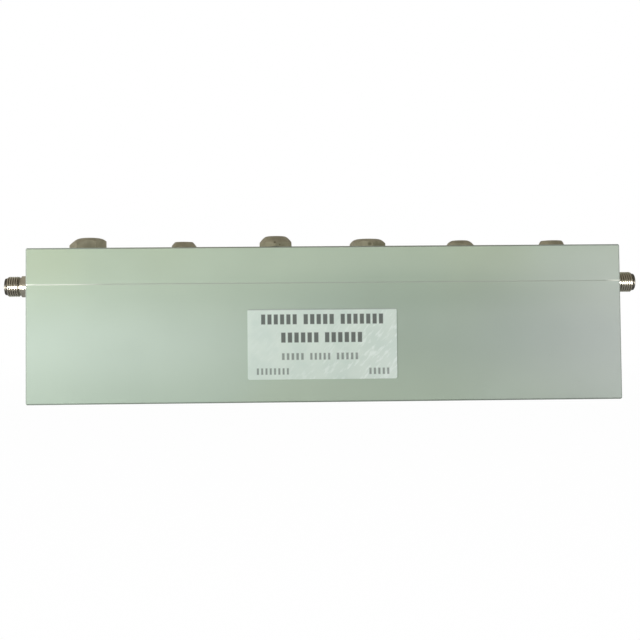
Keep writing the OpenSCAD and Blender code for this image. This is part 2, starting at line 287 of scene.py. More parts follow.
def threaded(name, radius, pitch, low, high, worn=0, steps=64):
    """A rod along Z with a right-handed thread of 60 degrees, cut flat at low and high.

    Worn is the share of the pitch that wear adds to the crests."""
    spare = 2
    flank = ((1 - CREST - ROOT) / 2 - worn / 2) * pitch
    crest = (CREST + worn) * pitch
    root = radius - math.sqrt(3) * flank
    rod = drawn_line(name, [(root, 0), (radius, flank), (radius, flank + crest),
                            (root, 2 * flank + crest), (root, pitch)])
    rod.location.z = low - spare * pitch
    settle(rod)
    rows = rod.modifiers.new("rows", "ARRAY")
    rows.count = math.ceil((high - low) / pitch) + spare + 1
    rows.use_relative_offset = False
    rows.use_constant_offset = True
    rows.constant_offset_displace = (0, 0, pitch)
    rows.use_merge_vertices = True
    rows.merge_threshold = SAME_PLACE
    apply_last(rod)
    helix = rod.modifiers.new("helix", "SCREW")
    helix.axis = "Z"
    helix.screw_offset = pitch
    helix.steps = steps
    helix.render_steps = steps
    apply_last(rod)
    close_up(rod)
    with editing():
        for height, from_below in ((low, True), (high, False)):
            bpy.ops.mesh.select_all(action="SELECT")
            bpy.ops.mesh.bisect(plane_co=(0, 0, height), plane_no=(0, 0, 1), use_fill=True,
                                clear_inner=from_below, clear_outer=not from_below,
                                threshold=ON_PLANE)
    close_up(rod)
    return rod


def joined(piece, other, operation):
    """Unites, subtracts or intersects two closed solids. The other one is used up."""
    cut = piece.modifiers.new("cut", "BOOLEAN")
    cut.solver = "MANIFOLD"
    cut.operation = operation
    cut.object = other
    apply_last(piece)
    bpy.data.objects.remove(other)


def softened(piece, width, segments=2, angle=25):
    """Rounds the piece's sharp edges."""
    edge = piece.modifiers.new("edge", "BEVEL")
    edge.limit_method = "ANGLE"
    edge.angle_limit = math.radians(angle)
    edge.width = width
    edge.segments = segments
    edge.use_clamp_overlap = True
    apply_last(piece)


def placed(piece, matrix):
    """Moves the piece's mesh by a matrix."""
    piece.matrix_world = matrix
    settle(piece)
    return piece


def end_place(side):
    """The matrix from a jack drawn along +Z to the left (-1) or right (1) end of the housing."""
    out = Matrix.Rotation(side * math.pi / 2, 4, "Y")
    return Matrix.Translation((side * BLOCK_HIGH.x, LINE_Y, SEAM_Z)) @ out


def hand_over(piece, node, material, smooth=30):
    """Finishes a piece that stands for a CAD node."""
    choose(piece)
    bpy.ops.object.shade_smooth_by_angle(angle=math.radians(smooth))
    fair = piece.modifiers.new("fair", "WEIGHTED_NORMAL")
    fair.keep_sharp = True
    apply_last(piece)
    piece.data.materials.clear()
    piece.data.materials.append(material)
    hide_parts(node)
    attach(piece, BODY)


def coat(material, names):
    """Gives CAD nodes their finish."""
    for name in names:
        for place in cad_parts[name].material_slots:
            place.material = material


def numbered(stem, count):
    """Node names with the numbers from 1 to count."""
    return [f"{stem}_{k}" for k in range(1, count + 1)]


def at_ends(stem):
    """Node names with the left and the right end."""
    return [f"{stem}_{end.name}" for end in ENDS]


# Finishes

class Level:
    """A value in a finish's graph. Arithmetic on it adds Math nodes."""

    def __init__(self, finish, socket):
        self.finish = finish
        self.socket = socket

    def math(self, operation, *values):
        return self.finish.node("ShaderNodeMath", {"operation": operation}, dict(enumerate(values)))

    def __add__(self, other):
        return self.math("ADD", self, other)

    def __sub__(self, other):
        return self.math("SUBTRACT", self, other)

    def __rsub__(self, other):
        return self.math("SUBTRACT", other, self)

    def __mul__(self, other):
        return self.math("MULTIPLY", self, other)

    def __truediv__(self, other):
        return self.math("DIVIDE", self, other)

    def __abs__(self):
        return self.math("ABSOLUTE", self)

    def most(self, other):
        return self.math("MAXIMUM", self, other)

    def least(self, other):
        return self.math("MINIMUM", self, other)

    def swing(self, width):
        """Turns a noise from 0 to 1 into one of that width about 0."""
        return (self - 0.5) * width

    __radd__ = __add__
    __rmul__ = __mul__


class Graph:
    """The nodes of a material or of the sky."""

    def __init__(self, tree):
        self.tree = tree

    def node(self, kind, settings=None, inputs=None, output=0):
        """Adds a node of any kind and returns one of its outputs."""
        made = self.tree.nodes.new(kind)
        for name, value in (settings or {}).items():
            setattr(made, name, value)
        for key, value in (inputs or {}).items():
            self.feed(made.inputs[key], value)
        return Level(self, made.outputs[output])

    def feed(self, socket, value):
        """Links a level to a socket, or sets a plain number or colour on it."""
        if isinstance(value, Level):
            self.tree.links.new(value.socket, socket)
        elif socket.type == "RGBA":
            socket.default_value = (*value[:3], 1)
        else:
            socket.default_value = value

    def show(self, output, surface):
        """Gives the output node of that name its surface."""
        self.feed(self.tree.nodes[output].inputs["Surface"], surface)


class Finish(Graph):
    """A procedural material on the object's own coordinates, read in millimetres."""

    def __init__(self, name):
        self.material = bpy.data.materials.new(name)
        self.material.use_nodes = True
        super().__init__(self.material.node_tree)
        self.shader = self.tree.nodes["Principled BSDF"]
        metres = self.node("ShaderNodeTexCoord", output="Object")
        self.place = self.vector("SCALE", metres, {"Scale": 1 / MM})

    def vector(self, operation, first, inputs, output=0):
        return self.node("ShaderNodeVectorMath", {"operation": operation}, {0: first, **inputs}, output)

    def along(self, axis):
        """The X, Y or Z coordinate in millimetres."""
        return self.node("ShaderNodeSeparateXYZ", inputs={0: self.place}, output=axis)

    def facing(self, axis):
        """How far the surface faces along an axis, from 0 to 1 either way."""
        normal = self.node("ShaderNodeNewGeometry", output="True Normal")
        return abs(self.node("ShaderNodeSeparateXYZ", inputs={0: normal}, output=axis))

    def noise(self, size, stretch=(1, 1, 1), turn=(0, 0, 0), detail=3, roughness=0.55):
        """Soft noise from 0 to 1 with features of that size."""
        where = self.node("ShaderNodeMapping", {"vector_type": "TEXTURE"}, {
            "Vector": self.place, "Rotation": turn, "Scale": [size * share for share in stretch]})
        return self.node("ShaderNodeTexNoise", inputs={"Vector": where, "Scale": 1, "Detail": detail,
                                                       "Roughness": roughness})

    def step(self, value, low, high):
        """Rises smoothly from 0 at low to 1 at high."""
        return self.node("ShaderNodeMapRange", {"interpolation_type": "SMOOTHSTEP"},
                         {"Value": value, "From Min": low, "From Max": high})

    def distance(self, x, y, z, weights=(1, 1, 1)):
        """Distance from a point in millimetres. A weight of 0 leaves out that axis."""
        here = self.vector("MULTIPLY", self.place, {1: weights})
        there = [a * b for a, b in zip((x, y, z), weights)]
        return self.vector("DISTANCE", here, {1: there}, "Value")

    def blend(self, share, first, second, mode="MIX"):
        """A colour between the first, at 0, and the second, at 1."""
        return self.node("ShaderNodeMix", {"data_type": "RGBA", "blend_type": mode},
                         {0: share, 6: first, 7: second}, 2)

    def bump(self, height, depth):
        """A relief as deep as depth, in millimetres, where height runs from 0 to 1."""
        return self.node("ShaderNodeBump", inputs={"Height": height, "Distance": depth * MM})

    def done(self, **levels):
        """Feeds the shader's sockets, named in lower case, and returns the material."""
        for name, value in levels.items():
            self.feed(self.shader.inputs[name.replace("_", " ").title()], value)
        return self.material


def so_far(paint, along, change):
    """How far a change has come, along the housing."""
    return paint.step(along, change.start, change.full) * change.strength


def front_marks(paint, colour, look):
    """Adds a darker band along the top edge and a painted highlight on the seam, which show at the front
    alone.
    """
    along = paint.along("X")
    up = paint.along("Z")
    front_y = FRONT_Y / MM
    top_z = COVER_HIGH.z / MM
    front = 1 - paint.step(paint.along("Y"), front_y + MARK_DEPTH[0], front_y + MARK_DEPTH[1])
    # Darker along the top front edge.
    at_top = paint.step(up, top_z - DARK_EDGE_BAND[0], top_z - DARK_EDGE_BAND[1])
    dark_top_edge = so_far(paint, along, DARK_EDGE_SETS_IN) * (1 - so_far(paint, along, DARK_EDGE_FADES))
    colour = paint.blend(at_top * dark_top_edge * front, colour, look.dark_top_edge)
    # A painted highlight on the seam near both ends.
    at_seam = (1 - paint.step(abs(up - SEAM_Z / MM), *SEAM_BAND)) * front
    seam_highlight = (1 - so_far(paint, along, SEAM_WEAKENS)) * (1 - so_far(paint, along, SEAM_FADES))
    seam_highlight = seam_highlight.most(so_far(paint, along, SEAM_RETURNS)).most(SEAM_LEAST)
    return paint.blend(at_seam * seam_highlight, colour, look.seam_highlight)


def housing_paint(look):
    """Pale grey-green satin paint with a fine orange peel, painted shade on its edges and soft patches of
    painted light and shade.
    """
    paint = Finish("housing_paint")
    cloud = paint.noise(size=30, detail=2)
    warm = paint.noise(size=55, detail=1)
    peel = paint.noise(size=1.1, detail=2)
    speck = paint.noise(size=0.3)
    high = paint.step(paint.along("Z"), HIGH_TINT_FROM, COVER_HIGH.z / MM)
    colour = paint.blend(paint.step(cloud, 0.35, 0.65), look.colour, look.shade)
    colour = paint.blend(high, colour, look.high_tint, "MULTIPLY")
    colour = paint.blend(paint.step(warm, 0.42, 0.62), colour, look.warm_tint, "MULTIPLY")
    # Painted light and shade: each patch lightens or darkens the paint by its tint.
    for light_patch in LIGHT_AND_SHADE_PATCHES:
        reach = paint.distance(light_patch.x, FRONT_Y / MM, light_patch.z,
                               (1 / light_patch.reach_x, 1 / LIGHT_PATCH_DEPTH, 1 / light_patch.reach_z))
        colour = paint.blend(1 - paint.step(reach, LIGHT_PATCH_FULL, 1), colour, light_patch.tint, "MULTIPLY")
    # Painted shade: the paint darkens on its chamfered edges, where the surface faces no axis.
    flat = paint.facing("X").most(paint.facing("Y")).most(paint.facing("Z"))
    rim = 1 - paint.step(flat, 0.85, 0.97)
    colour = paint.blend(rim * look.edge_shading, colour, look.edge)
    colour = front_marks(paint, colour, look)
    relief = peel * PEEL_DEPTH + speck * SPECK_DEPTH
    for dent in DENTS:
        near = paint.distance(dent.x, FRONT_Y / MM, dent.z)
        relief = relief - (1 - paint.step(near, 0, dent.radius)) * DENT_DEPTH
    paint.shader.inputs["Specular IOR Level"].default_value = look.specular
    return paint.done(base_color=colour, roughness=look.roughness + peel.swing(0.12),
                      normal=paint.bump(relief, depth=1))


def nickel(name, look, streak=(1, 1, 5)):
    """Dull plating with clouds, stains and fine streaks: its finish and what goes into it."""
    metal = Finish(name)
    cloud = metal.noise(size=3.2)
    stain = metal.step(metal.noise(size=1.4), 0.52, 0.72)
    lines = metal.noise(size=0.22, stretch=streak)
    colour = metal.blend(metal.step(cloud, 0.3, 0.7), look.colour, look.dark)
    colour = metal.blend(stain * 0.5, colour, look.dark)
    colour = metal.blend(lines.swing(0.5) + 0.25, colour, look.dark)
    return metal, colour, look.roughness + cloud.swing(0.25) + lines.swing(0.2), lines


def tuner_nickel(look):
    """Nickel of the tuning screws, with dark spots on two of the heads."""
    metal, colour, roughness, lines = nickel("dull_nickel", look)
    for spot in SPOTS:
        low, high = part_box(f"tuning_screw_{spot.screw}")
        middle = (low + high) / 2 / MM
        near = metal.distance(middle.x + spot.right, 0, high.z / MM - spot.down, (1, 0, 1))
        inside = 1 - metal.step(near, SPOT_FULL * spot.radius, spot.radius)
        colour = metal.blend(inside * look.spotted, colour, look.spot)
    return metal.done(base_color=colour, metallic=1.0, roughness=roughness,
                      normal=metal.bump(lines, depth=0.006))


def jack_nickel(look):
    """Nickel with painted shade in the grooves between the crests of the thread."""
    metal, colour, roughness, lines = nickel("jack_nickel", look, (5, 1, 1))
    thread_r = look.thread_r / MM
    socket_r = look.socket_r / MM
    thread_x = (BLOCK_HIGH.x + look.flange_t + look.collar_l + look.groove_w) / MM
    full_r = (look.thread_r - THREAD_SHADE_FULL * look.pitch) / MM
    reach = metal.distance(0, LINE_Y / MM, SEAM_Z / MM, (0, 1, 1))
    on_thread = metal.step(abs(metal.along("X")), thread_x + THREAD_SHADE_START[0], thread_x + THREAD_SHADE_START[1])
    # Painted shade between the crests of the thread.
    groove = (1 - metal.step(reach, full_r, thread_r - THREAD_SHADE_BELOW)) * on_thread
    outside = metal.step(reach, socket_r + THREAD_SHADE_OUTSIDE[0], socket_r + THREAD_SHADE_OUTSIDE[1])
    colour = metal.blend(groove * outside * look.thread_shading, colour, look.thread_shade)
    return metal.done(base_color=colour, metallic=1.0, roughness=roughness + 0.2 * groove,
                      normal=metal.bump(lines, depth=0.005))


def inked_blocks(foil, left, down):
    """How strong the ink is: up to 1 on the label's small plain blocks, and 0 beside them."""
    ink = None
    for row in ROWS:
        pitch = (row.right - row.left) / row.blocks
        cell = foil.node("ShaderNodeMath", {"operation": "FRACT"}, {0: (left - row.left) / pitch})
        beside = abs(cell - 0.5) * pitch - (pitch - BLOCK_GAP) / 2
        above = abs(down - (row.top + row.height / 2)) - row.height / 2
        past = abs(left - (row.left + row.right) / 2) - (row.right - row.left) / 2
        outside = beside.most(above).most(past)
        line = (1 - foil.step(outside, -BLOCK_SOFT, BLOCK_SOFT)) * row.ink
        ink = line if ink is None else ink.most(line)
    return ink


def label_foil(look):
    """Satin foil with rows of small inked blocks, crinkled and with painted glints towards its lower
    right corner.
    """
    low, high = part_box("label")
    foil = Finish("label_foil")
    left = foil.along("X") - low.x / MM
    down = high.z / MM - foil.along("Z")
    grain = foil.noise(size=0.35)
    cloud = foil.noise(size=7, detail=2)
    crinkle = foil.noise(size=0.9, stretch=(1, 1, 3.5), turn=(0, math.radians(CRINKLE_LEAN), 0))
    corner = foil.step(left + down, *CRINKLED) * (1 - CRINKLE_LEAST) + CRINKLE_LEAST
    # Painted highlights: fine diagonal glints, brighter towards the lower right corner.
    glint = (foil.step(crinkle, 0.5, 0.68) + 0.5 * foil.step(left + down, *GLINTING)).least(1) * corner
    ink = inked_blocks(foil, left, down)
    colour = foil.blend(foil.step(cloud, 0.3, 0.7), look.colour, look.shade)
    colour = foil.blend(glint * look.glinting, colour, look.glint)
    # A painted shadow along the foil's top edge, in the ink's colour.
    top_shadow = 1 - foil.step(down, 0.15, 0.4)
    colour = foil.blend(top_shadow * look.top_shadow_share, colour, look.ink)
    colour = foil.blend(ink * look.ink_share, colour, look.ink)
    relief = grain * 0.004 + cloud * 0.02 + crinkle * corner * 0.03
    return foil.done(base_color=colour, metallic=look.metallic * (1 - ink),
                     roughness=look.roughness + grain.swing(0.15) + 0.1 * ink,
                     normal=foil.bump(relief, depth=1))


def plating(name, colour, dark, roughness):
    """Bright plating over turned metal, with fine rings of the lathe and a light tarnish."""
    metal = Finish(name)
    rings = metal.noise(size=0.18, stretch=(8, 8, 1), detail=1)
    tarnish = metal.step(metal.noise(size=4), 0.45, 0.75)
    return metal.done(base_color=metal.blend(tarnish * 0.6, colour, dark), metallic=1.0,
                      roughness=roughness + rings.swing(0.12) + 0.15 * tarnish,
                      normal=metal.bump(rings, depth=0.004))


def white_plastic(look):
    """Plain white plastic, slightly clouded."""
    plastic = Finish("white_plastic")
    cloud = plastic.noise(size=2.5)
    grain = plastic.noise(size=0.15)
    colour = plastic.blend(plastic.step(cloud, 0.3, 0.7), look.plastic, look.plastic_dark)
    return plastic.done(base_color=colour, roughness=0.42 + grain.swing(0.15),
                        normal=plastic.bump(grain, depth=0.01))


# Settings

def a_length(name, description, default):
    return FloatProperty(name=name, description=description, default=default, unit="LENGTH",
                         precision=4)


def a_share(name, description, default):
    return FloatProperty(name=name, description=description, default=default, min=0, max=1,
                         subtype="FACTOR")


def an_angle(name, description, degrees):
    return FloatProperty(name=name, description=description, default=math.radians(degrees),
                         subtype="ANGLE")


def a_colour(name, description, default):
    return FloatVectorProperty(name=name, description=description, default=default, min=0, max=1,
                               subtype="COLOR")


class PaintSettings(PropertyGroup):
    colour: a_colour("Paint", "Colour of the paint", (0.468, 0.558, 0.468))
    shade: a_colour("Paint, darker", "Colour of the paint's darker clouds", (0.452, 0.540, 0.453))
    # The edge colour and its strength are painted shade on the chamfered edges.
    edge: a_colour("Edges", "Colour where the paint thins over the edges", (0.27, 0.31, 0.27))
    high_tint: a_colour("Tint, high", "Tint of the paint towards the top", (1, 1, 0.93))
    warm_tint: a_colour("Tint, warm", "Tint of the paint's broad warm clouds", (1, 0.99, 0.955))
    # A darker band along the top front edge.
    dark_top_edge: a_colour("Top edge", "Colour of the rubbed edge at the top", (0.22, 0.21, 0.16))
    # The seam colour is a painted highlight near both ends.
    seam_highlight: a_colour("Seam", "Colour of the bare seam near both ends", (0.92, 0.95, 0.86))
    edge_shading: a_share("Thin edges", "How far the paint thins over the edges", 0.8)
    roughness: a_share("Roughness", "Roughness of the paint", 0.42)
    specular: a_share("Gloss", "Strength of the paint's gloss", 0.28)


class LabelSettings(PropertyGroup):
    colour: a_colour("Foil", "Colour of the foil", (0.75, 0.85, 0.77))
    shade: a_colour("Foil, darker", "Colour of the foil's darker clouds", (0.69, 0.80, 0.725))
    # The glint colour and its strength are a painted highlight.
    glint: a_colour("Glint", "Colour of the fine diagonal glints", (0.92, 1.0, 0.95))
    ink: a_colour("Ink", "Colour of the inked blocks", (0.05, 0.055, 0.05))
    ink_share: a_share("Ink strength", "How much of the foil the ink hides", 0.86)
    glinting: a_share("Glint strength", "How strongly the glints show", 0.8)
    # A painted shadow along the foil's top edge.
    top_shadow_share: a_share("Dark edge", "How dark the foil is along its top edge", 0.5)
    metallic: a_share("Metallic", "How metallic the foil is", 0.15)
    roughness: a_share("Roughness", "Roughness of the foil", 0.36)
    corner_r: a_length("Corner radius", "Radius of the label's corners", 0.6 * MM)
    edge_r: a_length("Edge radius", "Rounding of the foil's edge", 0.04 * MM)


class TunerSettings(PropertyGroup):
    broad_af: a_length("Broad heads", "Their width across the flats", 10.3 * MM)
    broad_head_h: a_length("Broad head height", "Height of the broad heads", 3.6 * MM)
    broad_thread_r: a_length("Broad thread radius", "Radius over their threads", 2.95 * MM)
    broad_pitch: a_length("Broad pitch", "Pitch of their threads", 1 * MM)
    narrow_af: a_length("Narrow heads", "Their width across the flats", 8.3 * MM)
    narrow_head_h: a_length("Narrow head height", "Height of the narrow heads", 2.8 * MM)
    narrow_thread_r: a_length("Narrow thread radius", "Radius over their threads", 2.45 * MM)
    narrow_pitch: a_length("Narrow pitch", "Pitch of their threads", 0.8 * MM)
    tip: a_length("Tip", "Chamfer at a screw's tip", 0.6 * MM)
    softness: a_length("Edge radius", "Rounding of the heads' worn edges", 0.16 * MM)
    colour: a_colour("Nickel", "Colour of the plating", (0.61, 0.59, 0.46))
    dark: a_colour("Nickel, dull", "Colour of the plating's dull stains", (0.43, 0.41, 0.315))
    spot: a_colour("Spots", "Colour of the dark spots", (0.10, 0.09, 0.05))
    spotted: a_share("Spot strength", "How strongly the dark spots show", 0.6)
    roughness: a_share("Roughness", "Roughness of the plating", 0.36)


class JackSettings(PropertyGroup):
    thread_r: a_length("Thread radius", "Radius over the threads", 3.175 * MM)
    pitch: a_length("Pitch", "Pitch of the fine thread, 36 turns to the inch", 25.4 / 36 * MM)
    flange_side: a_length("Flange", "Side of the square flange", 12.7 * MM)
    flange_t: a_length("Flange thickness", "Thickness of the flange", 1.65 * MM)
    flange_r: a_length("Flange corners", "Corner radius of the flange", 0.6 * MM)
    screw_spacing: a_length("Screw spacing", "Distance between neighbouring flange screws", 8.64 * MM)
    screw_head_r: a_length("Countersink", "Radius of the countersinks in the flange", 2 * MM)
    screw_hole_r: a_length("Screw hole", "Radius of the screw holes in the flange", 1.15 * MM)
    collar_r: a_length("Collar", "Radius of the smooth collar", 3.35 * MM)
    collar_l: a_length("Collar length", "Length of the collar past the flange", 2.75 * MM)
    groove_r: a_length("Groove", "Radius of the groove behind the threads", 2.75 * MM)
    groove_w: a_length("Groove width", "Width of that groove", 0.55 * MM)
    bevel_l: a_length("Bevel", "Length of the bevel down to the nose", 0.8 * MM)
    nose_r: a_length("Nose", "Radius of the smooth nose", 2.625 * MM)
    nose_l: a_length("Nose length", "Length of the nose", 0.35 * MM)
    socket_r: a_length("Socket", "Radius of the socket", 2.3 * MM)
    socket_l: a_length("Socket depth", "Depth of the socket", 1.93 * MM)
    bore_r: a_length("Bore", "Radius of the bore round the insulator", 2.08 * MM)
    worn: a_share("Wear", "Share of the pitch that wear adds to the crests", 0.24)
    colour: a_colour("Nickel", "Colour of the plating", (0.80, 0.76, 0.65))
    dark: a_colour("Nickel, dull", "Colour of the plating's dull stains", (0.58, 0.54, 0.44))
    # Painted shade in the thread grooves: its colour and strength.
    thread_shade: a_colour("Grime", "Colour of the dirt between the crests", (0.05, 0.045, 0.035))
    thread_shading: a_share("Grime strength", "How strongly the dirt shows", 0.85)
    roughness: a_share("Roughness", "Roughness of the plating", 0.2)


class InsideSettings(PropertyGroup):
    silver: a_colour("Silver", "Colour of the silver plating", (0.84, 0.83, 0.79))
    silver_dark: a_colour("Silver, tarnished", "Colour of its tarnish", (0.58, 0.55, 0.48))
    silver_rough: a_share("Silver, roughness", "Roughness of the silver", 0.28)
    gold: a_colour("Gold", "Colour of the gold plating", (0.80, 0.62, 0.28))
    gold_dark: a_colour("Gold, dull", "Colour of its dull stains", (0.62, 0.46, 0.20))
    gold_rough: a_share("Gold, roughness", "Roughness of the gold", 0.25)
    steel: a_colour("Steel", "Colour of the screws", (0.50, 0.49, 0.46))
    steel_dark: a_colour("Steel, dark", "Colour of the screws' stains", (0.26, 0.25, 0.23))
    steel_rough: a_share("Steel, roughness", "Roughness of the screws", 0.34)
    plastic: a_colour("Plastic", "Colour of the white plastic", (0.90, 0.90, 0.88))
    plastic_dark: a_colour("Plastic, dull", "Colour of its dull clouds", (0.82, 0.82, 0.79))


class StageSettings(PropertyGroup):
    camera_place: FloatVectorProperty(name="Camera", description="Place of the camera", subtype="XYZ",
                                      unit="LENGTH", default=(-0.02094, -0.3495, 0.02474))
    camera_yaw: an_angle("Yaw", "Turn about Z", -1.633)
    camera_pitch: an_angle("Pitch", "How far it looks up", 2.1)
    camera_roll: an_angle("Roll", "Turn about its own axis", -0.509)
    lens: FloatProperty(name="Lens", description="Focal length", default=61.65, unit="CAMERA")
    shift_x: FloatProperty(name="Shift X", description="Sideways shift of the camera", default=0.0516)
    shift_y: FloatProperty(name="Shift Y", description="Upward shift of the camera", default=-0.0625)
    ambient: FloatProperty(name="Ambient", description="Light from all around", default=0.3)
    floor: a_colour("Floor", "Colour of the floor", (0.85, 0.85, 0.85))
    floor_white: a_share("Floor, bright", "How white the floor near the filter is", 0.98)
    floor_near: a_share("Floor, mirrored", "How bright metal mirrors the floor at its foot", 0.3)
    dim: a_colour("Dim room", "Colour of the dim room that metal mirrors", (0.34, 0.32, 0.28))
    dim_r: a_length("Dim room radius", "Radius of the dim room", 1.5)
    dim_low: a_length("Dim room foot", "Height of the dim room's foot above the floor", 0.01)
    floor_r: a_length("Floor radius", "Radius of the floor", 6.0)


# Pieces

class HousingOperator(Operator):
    """Paint both blocks of the housing"""
    bl_idname = "bandstop.housing"
    bl_label = "Housing"

    def execute(self, context):
        coat(housing_paint(context.scene.bandstop_paint), ["cavity_block", "cover_block"])
        return {"FINISHED"}


class LabelOperator(Operator):
    """Make the foil label"""
    bl_idname = "bandstop.label"
    bl_label = "Label"

    def execute(self, context):
        look = context.scene.bandstop_label
        low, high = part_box("label")
        piece = plate("dressed_label", low, high, 1, look.corner_r)
        softened(piece, look.edge_r, angle=60)
        hand_over(piece, "label", label_foil(look))
        return {"FINISHED"}


def crown(head, flat_r, corner_r, height):
    """The turned form that a head's crown is cut by. It reaches past the head's sides and foot."""
    steps = 14
    past = 0.01
    top_r = head.top_r * MM
    rim_r = corner_r + (abs(head.shift) + past) * MM
    drop = head.drop * MM
    end_slope = min(1, head.curve * drop / (flat_r - top_r))
    slope = []
    for k in range(steps, -1, -1):
        radius = top_r + (rim_r - top_r) * k / steps
        fall = drop * ((min(radius, flat_r) - top_r) / (flat_r - top_r)) ** head.curve
        slope.append((radius, height - fall - end_slope * max(0, radius - flat_r)))
    ends = [(0, height)] if top_r else []
    form = turned("crown", [(0, -MM), (rim_r, -MM)] + slope + ends)
    return placed(form, Matrix.Translation((head.shift * MM, 0, 0)))


def tuning_screw(name, head, low, high, look):
    """A crowned hex head, its edges worn, on a threaded shank."""
    size = "broad" if head.broad else "narrow"
    flat_r = getattr(look, size + "_af") / 2
    height = getattr(look, size + "_head_h")
    thread_r = getattr(look, size + "_thread_r")
    pitch = getattr(look, size + "_pitch")
    corner_r = flat_r / math.cos(math.pi / 6)
    shank_l = high.z - low.z - height
    piece = placed(prism(name, 6, corner_r, 0, height), Matrix.Rotation(math.radians(head.turn), 4, "Z"))
    joined(piece, crown(head, flat_r, corner_r, height), "INTERSECT")
    bearing_r = BEARING * flat_r
    past_r = corner_r + MM
    rim_z = (past_r - bearing_r) * math.tan(math.radians(RIM_SLOPE))
    under = turned("under", [(0, 0), (bearing_r, 0), (past_r, rim_z), (past_r, height + MM),
                             (0, height + MM)])
    joined(piece, under, "INTERSECT")
    softened(piece, look.softness)
    overlap = 0.5 * MM
    shank = threaded("shank", thread_r, pitch, -shank_l, overlap)
    point = turned("point", [(0, -shank_l), (thread_r - look.tip, -shank_l),
                             (thread_r, look.tip - shank_l), (thread_r, overlap), (0, overlap)])
    joined(shank, point, "INTERSECT")
    joined(piece, shank, "UNION")
    middle = (low + high) / 2
    return placed(piece, Matrix.Translation((middle.x, middle.y, high.z - height)))


class TunersOperator(Operator):
    """Make the six hex-headed tuning screws"""
    bl_idname = "bandstop.tuners"
    bl_label = "Tuning Screws"

    def execute(self, context):
        look = context.scene.bandstop_tuners
        metal = tuner_nickel(look)
        for head, node in zip(HEADS, numbered("tuning_screw", CAVITIES)):
            piece = tuning_screw("dressed_" + node, head, *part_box(node), look)
            hand_over(piece, node, metal)
        return {"FINISHED"}


def jack_body(name, length_out, turn, look):
    """A jack along +Z from its flange's back: flange, collar, groove, thread, bevel and nose."""
    soft = 0.08 * MM
    flange_soft = 1.5 * soft
    run_in = 0.3 * MM
    lead = 0.12 * MM
    rim = 0.45 * MM
    half = look.flange_side / 2
    inside_z = look.flange_t / 2
    groove_z = look.flange_t + look.collar_l
    thread_z = groove_z + look.groove_w
    nose_z = length_out - look.nose_l
    bevel_z = nose_z - look.bevel_l
    piece = plate(name, (-half, -half, 0), (half, half, look.flange_t), 2, look.flange_r)
    softened(piece, flange_soft)
    spindle = turned("spindle", [
        (0, inside_z), (look.collar_r, inside_z),
        (look.collar_r, groove_z - soft), (look.collar_r - soft, groove_z), (look.groove_r, groove_z),
        (look.groove_r, thread_z + soft), (look.nose_r, thread_z + soft),
        (look.nose_r, length_out - soft), (look.nose_r - soft, length_out), (0, length_out)])
    thread = threaded("thread", look.thread_r, look.pitch, thread_z - look.pitch, nose_z, look.worn)
    placed(thread, Matrix.Rotation(math.radians(turn), 4, "Z"))
    envelope = turned("envelope", [
        (0, thread_z), (look.groove_r + soft, thread_z), (look.thread_r, thread_z + run_in),
        (look.thread_r, bevel_z), (look.nose_r - soft, nose_z - soft), (0, nose_z - soft)])
    joined(thread, envelope, "INTERSECT")
    joined(spindle, thread, "UNION")
    joined(piece, spindle, "UNION")
    socket_z = length_out - look.socket_l
    mouth_z = length_out + lead
    bore = turned("bore", [
        (0, -MM), (look.bore_r, -MM), (look.bore_r, socket_z), (look.socket_r, socket_z),
        (look.socket_r, length_out - lead), (look.socket_r + 2 * lead, mouth_z), (0, mouth_z)])
    joined(piece, bore, "DIFFERENCE")
    spacing = look.screw_spacing / 2
    sink_z = look.flange_t - rim
    past_z = look.flange_t + MM
    for x in (-spacing, spacing):
        for y in (-spacing, spacing):
            sink = turned("sink", [
                (0, -MM), (look.screw_hole_r, -MM),
                (look.screw_hole_r, sink_z - look.screw_head_r + look.screw_hole_r),
                (look.screw_head_r, sink_z), (look.screw_head_r, past_z), (0, past_z)], steps=48)
            joined(piece, placed(sink, Matrix.Translation((x, y, 0))), "DIFFERENCE")
    return piece


class JacksOperator(Operator):
    """Make the threaded coaxial jack at each end"""
    bl_idname = "bandstop.jacks"
    bl_label = "Coaxial Jacks"

    def execute(self, context):
        look = context.scene.bandstop_jacks
        metal = jack_nickel(look)
        for end, node in zip(ENDS, at_ends("jack_body")):
            low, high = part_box(node)
            piece = jack_body("dressed_" + node, high.x - low.x, end.thread_turn, look)
            hand_over(placed(piece, end_place(end.side)), node, metal)
        return {"FINISHED"}


class InsideOperator(Operator):
    """Finish the pieces inside the housing and all flush screws"""
    bl_idname = "bandstop.inside"
    bl_label = "Inside and Fasteners"

    def execute(self, context):
        look = context.scene.bandstop_inside
        silver = plating("silver_plate", look.silver, look.silver_dark, look.silver_rough)
        gold = plating("gold_plate", look.gold, look.gold_dark, look.gold_rough)
        steel = plating("screw_steel", look.steel, look.steel_dark, look.steel_rough)
        coat(silver, ["main_line"] + numbered("resonator_post", CAVITIES))
        coat(gold, numbered("coupling_probe", CAVITIES) + at_ends("jack_contact"))
        coat(white_plastic(look), numbered("line_bead", BEADS) + at_ends("jack_insulator"))
        coat(steel, ["cover_screws", "post_screws"] + at_ends("jack_screws"))
        return {"FINISHED"}


# Stage

# The floor lies this far under the filter, so that their faces don't coincide, and its white and
# its mirrored shade change over these distances from the filter, in millimetres
FLOOR_DROP = 0.02
WHITE_OVER = (60, 320)
SHADE_OVER = (60, 240)

# The dim room is this much brighter at its left. That fades by this share of its radius right of
# the middle.
ROOM_GLOW = 0.5
ROOM_GLOW_TO = 0.2

# The camera's sensor in millimetres, and how near and far it sees in metres
SENSOR = 36
NEAREST = 0.01
FARTHEST = 100

